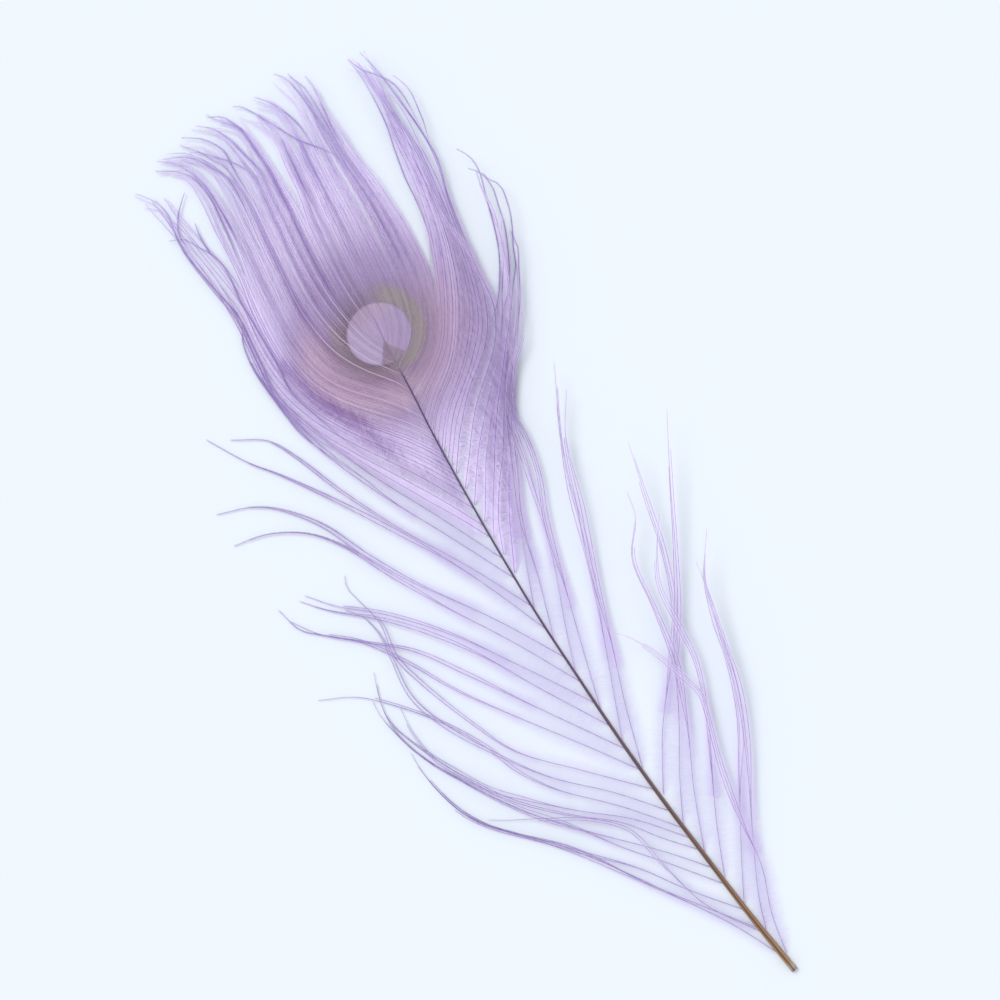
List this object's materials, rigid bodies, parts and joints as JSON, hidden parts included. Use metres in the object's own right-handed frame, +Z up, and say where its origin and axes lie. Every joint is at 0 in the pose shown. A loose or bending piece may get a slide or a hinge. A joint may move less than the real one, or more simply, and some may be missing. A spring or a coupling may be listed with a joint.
{
  "type": "peacock feather",
  "caption": "Dyed lilac peacock eye feather lying flat, with a bare cut quill, loose side barbs, a closed eye vane and a fringed crown.",
  "frame": {"origin": "on the surface that the feather lies on, under the middle of its box", "axes": "+Y from the cut quill towards the crown, +X to the right of the shaft seen from the front, +Z up off the surface"},
  "size_m": [0.1246, 0.2898, 0.0125],
  "materials": {
    "dyed_barbs": "soft satin fibre, lilac dye, with a mauve and olive eye"
  },
  "bodies": {
    "root": {"feather": "dyed_barbs"}
  },
  "joints": []
}
